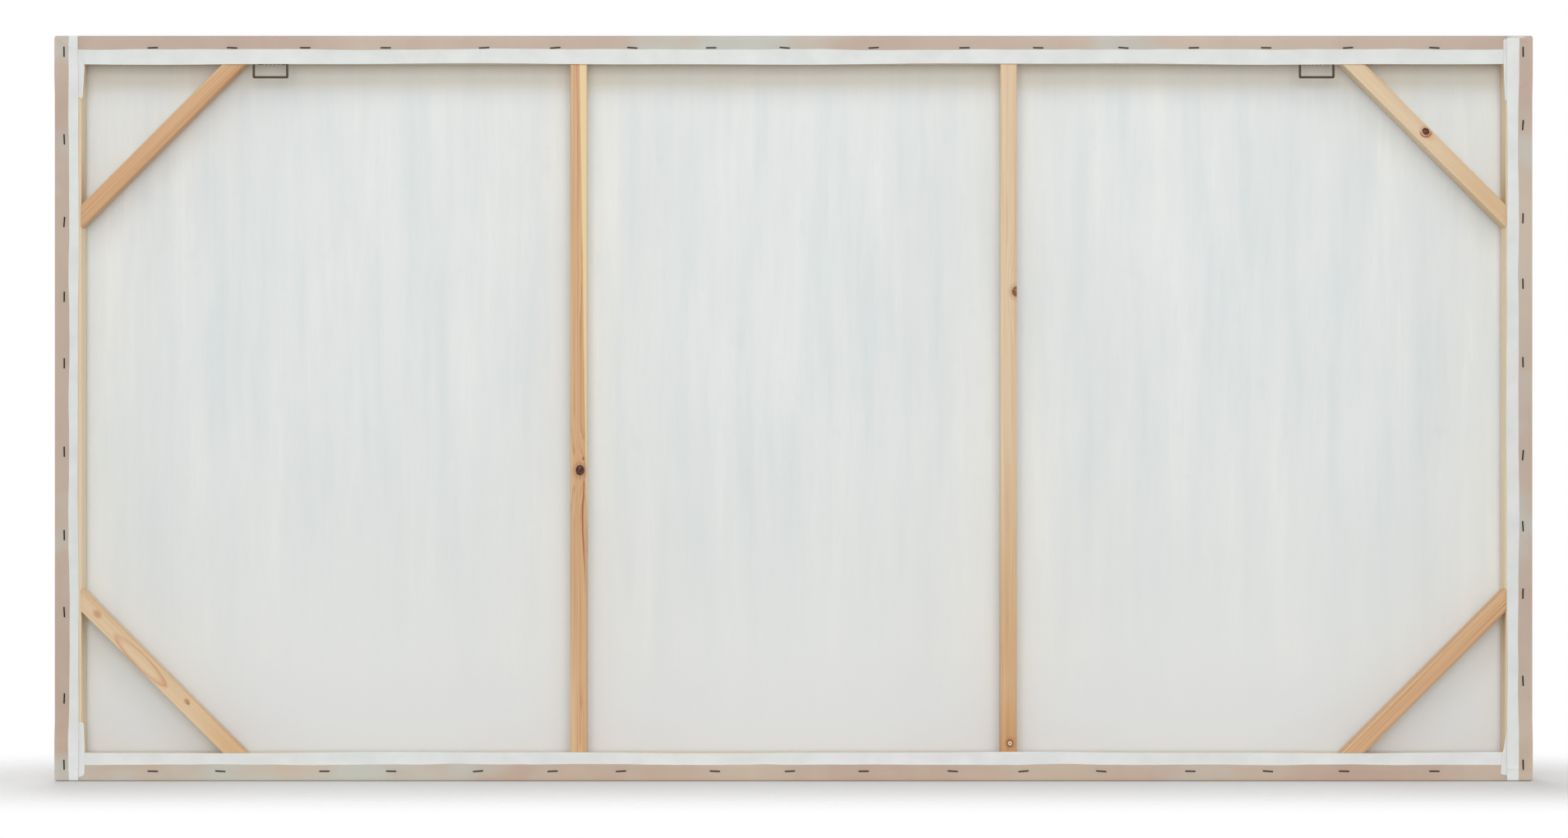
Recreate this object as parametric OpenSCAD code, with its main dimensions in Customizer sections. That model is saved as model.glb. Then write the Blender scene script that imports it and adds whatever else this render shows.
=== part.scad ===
// Gallery-wrapped stretched canvas on a braced softwood frame, with two sawtooth hangers.
// X runs along the width, Z is up and the painted face looks towards -Y.
// Left and right are named as seen from behind, so left is +X.
// The origin is the middle of the bottom edge.

/* [Canvas] */
// Finished width of the stretched canvas
canvas_w = 1820; // [1200:10:2400]
// Finished height of the stretched canvas
canvas_h = 918; // [700:2:1500]
// Depth from the painted face to the cloth folded over the back
depth = 38; // [34:1:60]
// Thickness of the cloth
cloth_t = 0.6; // [0.4:0.1:1]
// Width of cloth on the back of the top and bottom bars
top_fold_w = 35; // [24:1:50]
// Width of cloth on the back of the side bars
side_fold_w = 29; // [24:1:50]
// Layers of cloth in a folded corner
corner_layers = 3; // [2:1:4]

/* [Stretcher bars] */
// Width of a bar, seen from behind
bar_w = 32; // [26:1:60]
// Width of the raised front edge that the cloth bears on
bead_w = 7; // [3:0.5:12]
// How far the front of a bar slopes away from the cloth
bevel_drop = 3; // [1:0.5:6]
// Chamfer on the outer edges, so that they don't cut the cloth
edge_ease = 1.5; // [1:0.1:3]

/* [Braces] */
// Width of the brace stock, seen from behind
brace_w = 20; // [14:1:40]
// Depth of the brace stock
brace_d = 25; // [18:1:30]
// Chamfer on the planed edges of the bars and braces
planed_ease = 1; // [0.5:0.1:2]
// Distance from the middle to each upright brace
cross_brace_x = 265; // [120:5:400]
// Distance from an inner corner to the middle of a corner brace, along either bar
corner_leg = 190; // [110:5:260]

/* [Hangers] */
// Gap between a hanger and the corner brace beside it
hanger_gap = 7; // [2:1:150]
// Width of a hanger
hanger_w = 44; // [40:1:60]
// How far the toothed loop hangs below the bar
hanger_drop = 20; // [15:0.5:30]
// Depth of the flange that is nailed to the bar
flange_d = 14; // [10:1:20]
// Thickness of the hanger's sheet steel
hanger_t = 1.2; // [0.8:0.1:2]
// Width of the strip round the loop
loop_strip = 2.8; // [2:0.1:4]
// Number of teeth
tooth_count = 7; // [3:1:7]
// Distance from tooth to tooth
tooth_pitch = 4.8; // [3:0.1:5]
// Height of a tooth
tooth_h = 1.8; // [1:0.1:3]

/* [Staples] */
// Width of a staple's crown
crown_w = 12.7; // [8:0.1:16]
// Width of the staple wire
wire_w = 1.6; // [0.8:0.1:2]
// Thickness of the staple wire
wire_t = 0.6; // [0.4:0.1:1]
// Length of a staple's legs, under the crown
staple_leg = 10; // [6:1:12]
// Average distance between staples
staple_pitch = 98; // [60:1:150]
// Distance from the edge to the top row of staples
top_row_inset = 15; // [9:1:18]
// Distance from the edge to the other rows of staples
row_inset = 12; // [9:1:18]
// Distance from each end to the first staple of the top and bottom rows
long_row_end = 121; // [60:1:180]
// Distance from each end to the first staple of the side rows
short_row_end = 20; // [18:1:40]
// How far a staple may stray along its row
stray = 16; // [0:1:24]
// How far a staple may lean
lean = 5; // [0:1:12]

/* [Nails] */
// Diameter of the nails through the bars into the upright braces
nail_d = 2.5; // [2:0.1:3.5]
// Length of those nails
nail_len = 60; // [50:1:75]
// Diameter of their heads
nail_head_d = 5.5; // [4:0.1:7]
// Diameter of the corner braces' headless brads
brad_d = 1.6; // [1:0.1:2.4]
// How deep a brad goes into the bar
brad_depth = 18; // [10:1:22]
// Diameter of the hanger nails
pin_d = 1.8; // [1.4:0.1:2.4]
// Length of the hanger nails, under the head
pin_len = 11; // [8:1:14]
// Diameter of the hanger nails' heads
pin_head_d = 4; // [3:0.1:5]
// Clearance round a hanger nail in the flange
pin_clearance = 0.2; // [0.1:0.05:0.5]
// Length of each leg of a V-nail
v_leg = 7; // [5:0.5:8]
// Height of a V-nail
v_nail_h = 12; // [8:1:20]
// Thickness of a V-nail
v_nail_t = 0.8; // [0.5:0.1:1.2]

/* [Hidden] */
$fn = 32;

cloth_colour = [0.86, 0.86, 0.84];
bar_colour = [0.84, 0.7, 0.52];
cross_brace_colour = [0.86, 0.7, 0.5];
corner_brace_colour = [0.84, 0.66, 0.44];
bronze_colour = [0.36, 0.28, 0.22];
nail_colour = [0.62, 0.62, 0.62];
staple_colour = [0.3, 0.26, 0.23];

// How far a cutting shape runs past what it cuts.
past = 1;

// The wooden frame fills the inside of the cloth.
frame_w = canvas_w - 2 * cloth_t;
frame_h = canvas_h - 2 * cloth_t;
bar_d = depth - 2 * cloth_t;
inside_w = frame_w - 2 * bar_w;
inside_h = frame_h - 2 * bar_w;
mid_z = canvas_h / 2;
// The wood's chamfer follows the cloth's at an even thickness.
wood_ease = edge_ease - (2 - sqrt(2)) * cloth_t;

// Depths are counted from the painted face.
back_y = cloth_t + bar_d;
fold_stack = corner_layers * cloth_t;
total_d = back_y + fold_stack + wire_t;

// Nails and brads run deeper in the wood than the staples reach.
nail_y = back_y - max(brace_d / 2, staple_leg + nail_d);
nail_head_t = 1.2;
// A nail's point is this many diameters long, and this wide at its tip.
point_share = 1.5;
tip_d = 0.4;
// Half of a corner brace's mitred end, along the bar.
brace_end = brace_w / sqrt(2);

hanger_x = inside_w / 2 - corner_leg - brace_end - hanger_gap - hanger_w / 2;
// Solid strip between the flange and the teeth.
tooth_strip = 0.6;
tooth_root = hanger_t + tooth_strip;
// How far a tooth reaches up into that strip.
tooth_lap = 0.2;
loop_round = 2;
pin_x = hanger_w / 3;
// Steel left between a nail's head and the flange's edge.
pin_margin = 1;
pin_y = back_y - flange_d + pin_head_d / 2 + pin_margin;
pin_head_t = 0.8;
// Wood left between the inner V-nail's leg and the bar's inner edge.
v_nail_rest = 1;

// Each V-nail's corner lies on the mitre, this far in from both outer edges.
v_nail_spots = [row_inset / 2, bar_w - v_leg - v_nail_rest];

long_run = canvas_w - 2 * long_row_end;
short_run = canvas_h - 2 * short_row_end;
// Each row strays in its own way.
top_seed = 226195;
bottom_seed = 25592;
left_seed = 165048;
right_seed = 57660;

// ---- Placing ----

// Everything is drawn with the painted face at y = 0, then centred in depth.
module placed() {
    translate([0, -total_d / 2, 0]) children();
}

// Moves what is drawn for the top left quarter, about the middle, to any of the four.
module at_quarter(side, end) {
    translate([0, 0, mid_z])
        mirror([side < 0 ? 1 : 0, 0, 0])
            mirror([0, 0, end < 0 ? 1 : 0])
                children();
}

// The same for what is drawn about the inner corner of two bars.
module at_corner(side, end) {
    at_quarter(side, end) translate([inside_w / 2, 0, inside_h / 2]) children();
}

// Turns a row along X with its outer edge at z = 0 into each side of the frame.
module at_bottom() translate([0, 0, cloth_t]) children();
module at_top() translate([0, 0, canvas_h - cloth_t]) mirror([0, 0, 1]) children();
module at_left() translate([frame_w / 2, 0, mid_z]) rotate([0, -90, 0]) children();
module at_right() mirror([1, 0, 0]) at_left() children();

// ---- Cloth ----

module eased_outline(d, h, ease) {
    polygon([[ease, 0], [d - ease, 0], [d, ease], [d, h - ease],
        [d - ease, h], [ease, h], [0, h - ease], [0, ease]]);
}

// A block whose long front and back edges are cut off at 45 degrees.
module eased_block(w, d, h, ease) {
    intersection() {
        rotate([90, 0, 90]) translate([0, 0, -w / 2]) linear_extrude(w) eased_outline(d, h, ease);
        translate([-w / 2, 0, 0]) linear_extrude(h) mirror([1, -1]) eased_outline(d, w, ease);
    }
}

// The extra layers of cloth folded over the back of one corner.
module corner_fold(side, end) {
    at_quarter(side, end)
        translate([canvas_w / 2 - side_fold_w, depth - cloth_t, canvas_h / 2 - top_fold_w])
            cube([side_fold_w - edge_ease, fold_stack, top_fold_w - edge_ease]);
}

module canvas() placed() color(cloth_colour) difference() {
    union() {
        eased_block(canvas_w, depth, canvas_h, edge_ease);
        for (side = [-1, 1], end = [-1, 1]) corner_fold(side, end);
    }
    translate([0, cloth_t, cloth_t]) eased_block(frame_w, bar_d, frame_h, wood_ease);
    translate([side_fold_w - canvas_w / 2, depth - 2 * cloth_t, top_fold_w])
        cube([canvas_w - 2 * side_fold_w, depth, canvas_h - 2 * top_fold_w]);
    every_staple();
}

// ---- Bars ----

module bar_outline() {
    polygon([[wood_ease, 0], [bar_d - wood_ease, 0], [bar_d, wood_ease],
        [bar_d, bar_w - planed_ease], [bar_d - planed_ease, bar_w],
        [bevel_drop, bar_w], [0, bead_w], [0, wood_ease]]);
}

// A mitred bar along X, with its outer edge at z = 0.
module mitred_bar(length) {
    translate([0, cloth_t, 0]) intersection() {
        rotate([90, 0, 90]) translate([0, 0, -length / 2]) linear_extrude(length) bar_outline();
        translate([0, bar_d + past, 0]) rotate([90, 0, 0]) linear_extrude(bar_d + 2 * past)
            polygon([[-length / 2, 0], [length / 2, 0],
                [length / 2 - bar_w, bar_w], [bar_w - length / 2, bar_w]]);
    }
}

module drilled_bar() {
    placed() color(bar_colour) difference() {
        children();
        every_staple();
        for (side = [-1, 1], end = [-1, 1]) {
            v_nails(side, end);
            brads(side, end);
        }
        for (side = [-1, 1]) {
            cross_brace_nails(side);
            hanger_nails(side);
        }
    }
}

module top_bar() drilled_bar() at_top() mitred_bar(frame_w);
module bottom_bar() drilled_bar() at_bottom() mitred_bar(frame_w);
module left_bar() drilled_bar() at_left() mitred_bar(frame_h);
module right_bar() drilled_bar() at_right() mitred_bar(frame_h);

// ---- Braces ----

// Brace stock along Z, centred on its length and its width, with its back at back_y.
module brace_stock(length) {
    translate([0, back_y - brace_d, -length / 2]) linear_extrude(length)
        translate([-brace_w / 2, 0]) mirror([1, -1]) eased_outline(brace_d, brace_w, planed_ease);
}

module cross_brace(side) placed() color(cross_brace_colour) difference() {
    translate([side * cross_brace_x, 0, mid_z]) brace_stock(inside_h);
    cross_brace_nails(side);
}

module left_cross_brace() cross_brace(1);
module right_cross_brace() cross_brace(-1);

// A length of stock laid across the corner, and cut off along both bars.
module corner_brace(side, end) placed() color(corner_brace_colour) difference() {
    at_corner(side, end) intersection() {
        translate([-corner_leg / 2, 0, -corner_leg / 2]) rotate([0, -45, 0])
            brace_stock(2 * corner_leg);
        translate([-2 * corner_leg, 0, -2 * corner_leg]) cube([2 * corner_leg, depth, 2 * corner_leg]);
    }
    brads(side, end);
    brad_holes(side, end);
}

module top_left_corner_brace() corner_brace(1, 1);
module top_right_corner_brace() corner_brace(-1, 1);
module bottom_left_corner_brace() corner_brace(1, -1);
module bottom_right_corner_brace() corner_brace(-1, -1);

// ---- Hangers ----

module rounded_plate(w, h, r) {
    translate([-w / 2 + r, 0]) square([w - 2 * r, h]);
    translate([-w / 2, r]) square([w, h - 2 * r]);
    for (x = [-1, 1], y = [r, h - r])
        translate([x * (w / 2 - r), y]) circle(r);
}

// The toothed loop, with the bar's inner face at y = 0.
module loop_outline() {
    opening_h = hanger_drop - loop_strip - tooth_root;
    difference() {
        union() {
            translate([0, -hanger_drop]) rounded_plate(hanger_w, hanger_drop, loop_round);
            translate([-hanger_w / 2, -hanger_drop / 2]) square([hanger_w, hanger_drop / 2]);
        }
        translate([0, loop_strip - hanger_drop])
            rounded_plate(hanger_w - 2 * loop_strip, opening_h, loop_round / 2);
    }
    for (i = [0:tooth_count - 1])
        translate([(i - (tooth_count - 1) / 2) * tooth_pitch, -tooth_root])
            polygon([[-tooth_pitch / 2, tooth_lap], [-tooth_pitch / 2, 0], [0, -tooth_h],
                [tooth_pitch / 2, 0], [tooth_pitch / 2, tooth_lap]]);
}

module at_hanger(side) {
    translate([side * hanger_x, 0, mid_z + inside_h / 2]) children();
}

module hanger(side) placed() color(bronze_colour) at_hanger(side) difference() {
    union() {
        translate([0, back_y, 0]) rotate([90, 0, 0]) linear_extrude(hanger_t) loop_outline();
        translate([-hanger_w / 2, back_y - flange_d, -hanger_t]) cube([hanger_w, flange_d, hanger_t]);
    }
    for (x = [-pin_x, pin_x])
        translate([x, pin_y, -2 * hanger_t])
            cylinder(d = pin_d + 2 * pin_clearance, h = 3 * hanger_t);
}

module left_hanger() hanger(1);
module right_hanger() hanger(-1);

module hanger_nails(side) at_hanger(side)
    for (x = [-pin_x, pin_x]) translate([x, pin_y, -hanger_t]) {
        translate([0, 0, -pin_head_t]) cylinder(d = pin_head_d, h = pin_head_t);
        cylinder(d = pin_d, h = pin_len - pin_d);
        translate([0, 0, pin_len - pin_d]) cylinder(d1 = pin_d, d2 = tip_d, h = pin_d);
    }

module left_hanger_nails() placed() color(bronze_colour) hanger_nails(1);
module right_hanger_nails() placed() color(bronze_colour) hanger_nails(-1);

// ---- Nails ----

// Two nails through each long bar into an upright brace, heads under the cloth.
module cross_brace_nails(side) {
    for (end = [-1, 1], x = [-brace_w / 4, brace_w / 4])
        translate([side * cross_brace_x + x, nail_y, mid_z])
            mirror([0, 0, end < 0 ? 1 : 0])
                translate([0, 0, frame_h / 2]) headed_nail();
}

// A nail that points down, with the top of its head at z = 0.
module headed_nail() {
    point = point_share * nail_d;
    translate([0, 0, -nail_head_t]) cylinder(d = nail_head_d, h = nail_head_t);
    translate([0, 0, point - nail_len]) cylinder(d = nail_d, h = nail_len - point - nail_head_t);
    translate([0, 0, -nail_len]) cylinder(d1 = tip_d, d2 = nail_d, h = point);
}

module left_cross_brace_nails() placed() color(nail_colour) cross_brace_nails(1);
module right_cross_brace_nails() placed() color(nail_colour) cross_brace_nails(-1);

// One brad through each end of a corner brace, set just below its long inner side.
module brads(side, end) at_corner(side, end) {
    translate([-corner_leg, nail_y, brad_d - brace_end])
        cylinder(d = brad_d, h = brace_end - brad_d + brad_depth);
    translate([brad_d - brace_end, nail_y, -corner_leg])
        rotate([0, 90, 0]) cylinder(d = brad_d, h = brace_end - brad_d + brad_depth);
}

// What the brads leave open behind them.
module brad_holes(side, end) at_corner(side, end) {
    translate([-corner_leg, nail_y, -brace_end - brad_d])
        cylinder(d = brad_d, h = 3 * brad_d);
    translate([-brace_end - brad_d, nail_y, -corner_leg])
        rotate([0, 90, 0]) cylinder(d = brad_d, h = 3 * brad_d);
}

module top_left_brads() placed() color(nail_colour) brads(1, 1);
module top_right_brads() placed() color(nail_colour) brads(-1, 1);
module bottom_left_brads() placed() color(nail_colour) brads(1, -1);
module bottom_right_brads() placed() color(nail_colour) brads(-1, -1);

// V-nails pressed into a mitre from the back, with one leg in each bar.
module v_nails(side, end) at_corner(side, end)
    for (spot = v_nail_spots)
        translate([bar_w - spot, back_y, bar_w - spot])
            rotate([90, 0, 0]) linear_extrude(v_nail_h)
                polygon([[0, 0], [-v_leg, 0], [-v_leg, -v_nail_t],
                    [-v_nail_t, -v_nail_t], [-v_nail_t, -v_leg], [0, -v_leg]]);

module top_left_v_nails() placed() color(nail_colour) v_nails(1, 1);
module top_right_v_nails() placed() color(nail_colour) v_nails(-1, 1);
module bottom_left_v_nails() placed() color(nail_colour) v_nails(1, -1);
module bottom_right_v_nails() placed() color(nail_colour) v_nails(-1, -1);

// ---- Staples ----

// A row has a staple at each end, and those between them stray a little.
function row_count(run) = round(run / staple_pitch) + 1;
function row_places(run, seed) = let(last = row_count(run) - 1, strays = rands(-stray, stray, last + 1, seed))
    [for (i = [0:last]) run / 2 - i * run / last - (i == 0 || i == last ? 0 : strays[i])];

// A staple driven towards -Y, with its crown along X and its crown's underside at y = 0.
module staple() {
    translate([-crown_w / 2, 0, -wire_w / 2]) cube([crown_w, wire_t, wire_w]);
    for (x = [-crown_w / 2, crown_w / 2 - wire_t])
        translate([x, -staple_leg, -wire_w / 2]) cube([wire_t, staple_leg, wire_w]);
}

// A row along X. A staple on a corner fold stands higher, on the extra cloth.
module staple_row(run, length, inset, seed) {
    places = row_places(run, seed);
    leans = rands(-lean, lean, len(places), seed + 1);
    for (i = [0:len(places) - 1]) {
        on_fold = length / 2 - abs(places[i]) < top_fold_w + crown_w / 2;
        translate([places[i], back_y + (on_fold ? fold_stack : cloth_t), inset - cloth_t])
            rotate([0, leans[i], 0]) staple();
    }
}

module row_at_top() at_top() staple_row(long_run, canvas_w, top_row_inset, top_seed);
module row_at_bottom() at_bottom() staple_row(long_run, canvas_w, row_inset, bottom_seed);
module row_at_left() at_left() staple_row(short_run, canvas_h, row_inset, left_seed);
module row_at_right() at_right() staple_row(short_run, canvas_h, row_inset, right_seed);

module every_staple() {
    row_at_top();
    row_at_bottom();
    row_at_left();
    row_at_right();
}

module top_staples() placed() color(staple_colour) row_at_top();
module bottom_staples() placed() color(staple_colour) row_at_bottom();
module left_staples() placed() color(staple_colour) row_at_left();
module right_staples() placed() color(staple_colour) row_at_right();

// ---- Assembly ----

canvas();
top_bar();
bottom_bar();
left_bar();
right_bar();
left_cross_brace();
right_cross_brace();
top_left_corner_brace();
top_right_corner_brace();
bottom_left_corner_brace();
bottom_right_corner_brace();
left_hanger();
right_hanger();
left_hanger_nails();
right_hanger_nails();
left_cross_brace_nails();
right_cross_brace_nails();
top_left_brads();
top_right_brads();
bottom_left_brads();
bottom_right_brads();
top_left_v_nails();
top_right_v_nails();
bottom_left_v_nails();
bottom_right_v_nails();
top_staples();
bottom_staples();
left_staples();
right_staples();
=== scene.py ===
import math

import bmesh
import bpy
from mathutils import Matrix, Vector


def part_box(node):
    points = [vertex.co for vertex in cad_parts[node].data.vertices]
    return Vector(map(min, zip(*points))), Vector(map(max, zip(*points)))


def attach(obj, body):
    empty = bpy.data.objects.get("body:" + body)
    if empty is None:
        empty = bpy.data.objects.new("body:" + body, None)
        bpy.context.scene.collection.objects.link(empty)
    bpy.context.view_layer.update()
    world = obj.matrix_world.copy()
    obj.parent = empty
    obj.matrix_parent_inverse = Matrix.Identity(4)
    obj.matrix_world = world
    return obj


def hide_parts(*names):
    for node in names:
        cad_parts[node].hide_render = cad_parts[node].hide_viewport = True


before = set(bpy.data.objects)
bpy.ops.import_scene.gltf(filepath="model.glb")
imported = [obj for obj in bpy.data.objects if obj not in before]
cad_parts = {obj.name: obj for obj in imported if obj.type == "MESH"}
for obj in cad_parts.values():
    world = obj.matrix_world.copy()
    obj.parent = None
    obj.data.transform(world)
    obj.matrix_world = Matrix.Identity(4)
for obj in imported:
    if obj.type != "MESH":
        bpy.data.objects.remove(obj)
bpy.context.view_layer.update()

MM = 0.001

# ---- Sizes, read from the frame ----
# X runs along the width, Z is up and the painted face looks towards -Y.
# Left and right are named as seen from behind, so left is +X.

cloth_low, cloth_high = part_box("canvas")
top_bar_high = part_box("top_bar")[1]
half_w = cloth_high.x
top_z = cloth_high.z
mid_z = top_z / 2
face_y = cloth_low.y
cloth_t = cloth_high.x - top_bar_high.x
wood_back_y = top_bar_high.y
back_y = wood_back_y + cloth_t
brace_low, brace_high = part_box("left_cross_brace")
brace_w = brace_high.x - brace_low.x
inside_top = brace_high.z

# The camera stands this far behind the back of the frame, near its middle, and sees this much across it.
eye_distance = 4.2
eye_across = 0.0118
eye_height = 0.4458
view_across = 1.931

# The floor is grey beside the canvas and fades out over this distance into the white behind it, a painted
# soft shadow round the canvas.
floor_radius = 6.0
painted_shadow_reach = 0.38


def empty_selection():
    for thing in bpy.context.selected_objects:
        thing.select_set(False)


def smooth(value, low, high):
    """0 below low, 1 above high, and an easy curve between them."""
    share = min(max((value - low) / (high - low), 0), 1)
    return share * share * (3 - 2 * share)


def tint(red, green, blue):
    """A screen colour from 0 to 255, as the light that it stands for."""
    def light(value):
        value /= 255
        return value / 12.92 if value < 0.04045 else ((value + 0.055) / 1.055) ** 2.4
    return (light(red), light(green), light(blue), 1)


# ---- Camera, light and floor ----

def make_camera():
    lens = bpy.data.cameras.new("camera")
    lens.sensor_width = 36
    lens.lens = 36 * eye_distance / view_across
    camera = bpy.data.objects.new("camera", lens)
    camera.location = (eye_across, wood_back_y + eye_distance, eye_height)
    camera.rotation_euler = (math.radians(90), 0, math.radians(180))
    bpy.context.collection.objects.link(camera)
    bpy.context.scene.camera = camera


def softbox(name, place, size, power):
    """A large area light that faces the middle of the canvas."""
    lamp = bpy.data.lights.new(name, "AREA")
    lamp.shape = "RECTANGLE"
    lamp.size, lamp.size_y = size
    lamp.energy = power
    holder = bpy.data.objects.new(name, lamp)
    holder.location = place
    aim = Vector((0, 0, mid_z)) - Vector(place)
    holder.rotation_euler = aim.to_track_quat("-Z", "Y").to_euler()
    holder.visible_camera = False
    bpy.context.collection.objects.link(holder)


def make_lights():
    softbox("back_key", (0, 2.3, mid_z + 2.3), (3.6, 1.5), 31)
    softbox("back_fill", (0, 5.2, mid_z + 0.7), (3.2, 2.6), 110)
    for side in (-1, 1):
        softbox("side_fill", (side * 4.5, 0.3, mid_z + 0.6), (2.4, 2.4), 55)
    softbox("front_key", (0.6, -2.6, mid_z + 2.2), (3.2, 1.5), 36)
    softbox("front_fill", (0.9, -5.2, mid_z + 0.7), (3.2, 2.6), 115)
    world = bpy.data.worlds.new("studio")
    world.use_nodes = True
    tree = world.node_tree
    room = tree.nodes["Background"]
    room.inputs["Color"].default_value = (1, 1, 1, 1)
    room.inputs["Strength"].default_value = 0.39
    paper = tree.nodes.new("ShaderNodeBackground")
    paper.inputs["Color"].default_value = (1, 1, 1, 1)
    paper.inputs["Strength"].default_value = 1.0
    path = tree.nodes.new("ShaderNodeLightPath")
    choice = tree.nodes.new("ShaderNodeMixShader")
    tree.links.new(path.outputs["Is Camera Ray"], choice.inputs[0])
    tree.links.new(room.outputs[0], choice.inputs[1])
    tree.links.new(paper.outputs[0], choice.inputs[2])
    tree.links.new(choice.outputs[0], tree.nodes["World Output"].inputs["Surface"])
    bpy.context.scene.world = world
    bpy.context.scene.view_settings.view_transform = "Standard"


def make_floor():
    """A round pale floor that fades out away from the canvas, so that its grey beside the canvas is a
    painted soft shadow round the base.
    """
    empty_selection()
    bpy.ops.mesh.primitive_circle_add(vertices=96, radius=floor_radius, fill_type="NGON",
                                      location=(0, 0, -0.3 * MM))
    floor = bpy.context.object
    floor.name = "floor"
    paint = Graph("floor_with_painted_shadow")
    place = paint.put("TexCoord", {}).outputs["Object"]
    axes = paint.put("SeparateXYZ", {0: place})
    past_side = paint.sum("SUBTRACT", paint.sum("ABSOLUTE", axes.outputs[0]), half_w)
    beside = paint.sum("MAXIMUM", past_side, 0.0)
    away = paint.put("CombineXYZ", {0: beside, 1: axes.outputs[1]}).outputs[0]
    reach = paint.length(away)
    # Painted shadow: the floor stays grey next to the canvas and fades to clear further out, showing the
    # white behind.
    painted_shadow_fade = paint.put("MapRange", {"Value": reach, "From Min": 0.0, "From Max": painted_shadow_reach},
                     interpolation_type="SMOOTHSTEP").outputs[0]
    clear = paint.put("BsdfTransparent", {}).outputs[0]
    mixed = paint.put("MixShader", {0: painted_shadow_fade, 1: paint.shader.outputs[0], 2: clear}).outputs[0]
    paint.shader.inputs["Base Color"].default_value = (0.72, 0.72, 0.72, 1)
    paint.shader.inputs["Roughness"].default_value = 0.9
    paint.link(mixed, paint.tree.nodes["Material Output"].inputs["Surface"])
    floor.data.materials.append(paint.material)


# ---- Materials ----

class Graph:
    """A material's nodes, each added and joined in one line."""

    def __init__(self, name):
        self.material = bpy.data.materials.new(name)
        self.material.use_nodes = True
        self.tree = self.material.node_tree
        self.shader = self.tree.nodes["Principled BSDF"]

    def link(self, source, target):
        self.tree.links.new(source, target)

    def put(self, kind, sockets, **settings):
        node = self.tree.nodes.new("ShaderNode" + kind)
        for name, value in settings.items():
            setattr(node, name, value)
        for name, value in sockets.items():
            if isinstance(value, bpy.types.NodeSocket):
                self.link(value, node.inputs[name])
            else:
                node.inputs[name].default_value = value
        return node

    def sum(self, operation, first, second=0.0, third=0.0):
        sockets = {0: first, 1: second, 2: third}
        return self.put("Math", sockets, operation=operation).outputs[0]

    def noise(self, place, scale, detail=3.0, roughness=0.5, distortion=0.0):
        sockets = {"Vector": place, "Scale": scale, "Detail": detail,
                   "Roughness": roughness, "Distortion": distortion}
        return self.put("TexNoise", sockets).outputs["Fac"]

    def range(self, value, low, high, first=0.0, last=1.0):
        sockets = {"Value": value, "From Min": low, "From Max": high, "To Min": first, "To Max": last}
        return self.put("MapRange", sockets).outputs[0]

    def stretched(self, place, scale, location=(0, 0, 0)):
        sockets = {"Vector": place, "Scale": scale, "Location": location}
        return self.put("Mapping", sockets).outputs[0]

    def mix(self, share, first, second, blend="MIX"):
        node = self.put("Mix", {0: share, 6: first, 7: second}, data_type="RGBA", blend_type=blend)
        return node.outputs[2]

    def distance(self, place, spot):
        return self.put("VectorMath", {0: place, 1: spot}, operation="DISTANCE").outputs["Value"]

    def length(self, place):
        return self.put("VectorMath", {0: place}, operation="LENGTH").outputs["Value"]

    def bump(self, height, distance):
        node = self.put("Bump", {"Height": height, "Distance": distance, "Strength": 1.0})
        self.link(node.outputs[0], self.shader.inputs["Normal"])


def weave(paint, cloth_place, pitch):
    """Height of a plain weave with threads this far apart, from 0 to 1, and slightly uneven."""
    slub = paint.noise(paint.stretched(cloth_place, (40, 900, 1)), 1.0, 2.0)
    slub_across = paint.noise(paint.stretched(cloth_place, (900, 40, 1)), 1.0, 2.0)
    axes = paint.put("SeparateXYZ", {0: cloth_place})
    turns = math.pi / pitch
    across = paint.sum("MULTIPLY", axes.outputs[0], turns)
    along = paint.sum("MULTIPLY", axes.outputs[1], turns)
    over = paint.sum("MULTIPLY", paint.sum("SINE", across), paint.sum("SINE", along))
    warp = paint.sum("MULTIPLY_ADD", over, 0.5, 0.5)
    thread = paint.sum("MULTIPLY", paint.sum("ABSOLUTE", over), 0.6)
    height = paint.sum("MULTIPLY_ADD", warp, 0.4, thread)
    height = paint.sum("MULTIPLY_ADD", slub, 0.5, height)
    return paint.sum("MULTIPLY_ADD", slub_across, 0.5, height)


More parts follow.
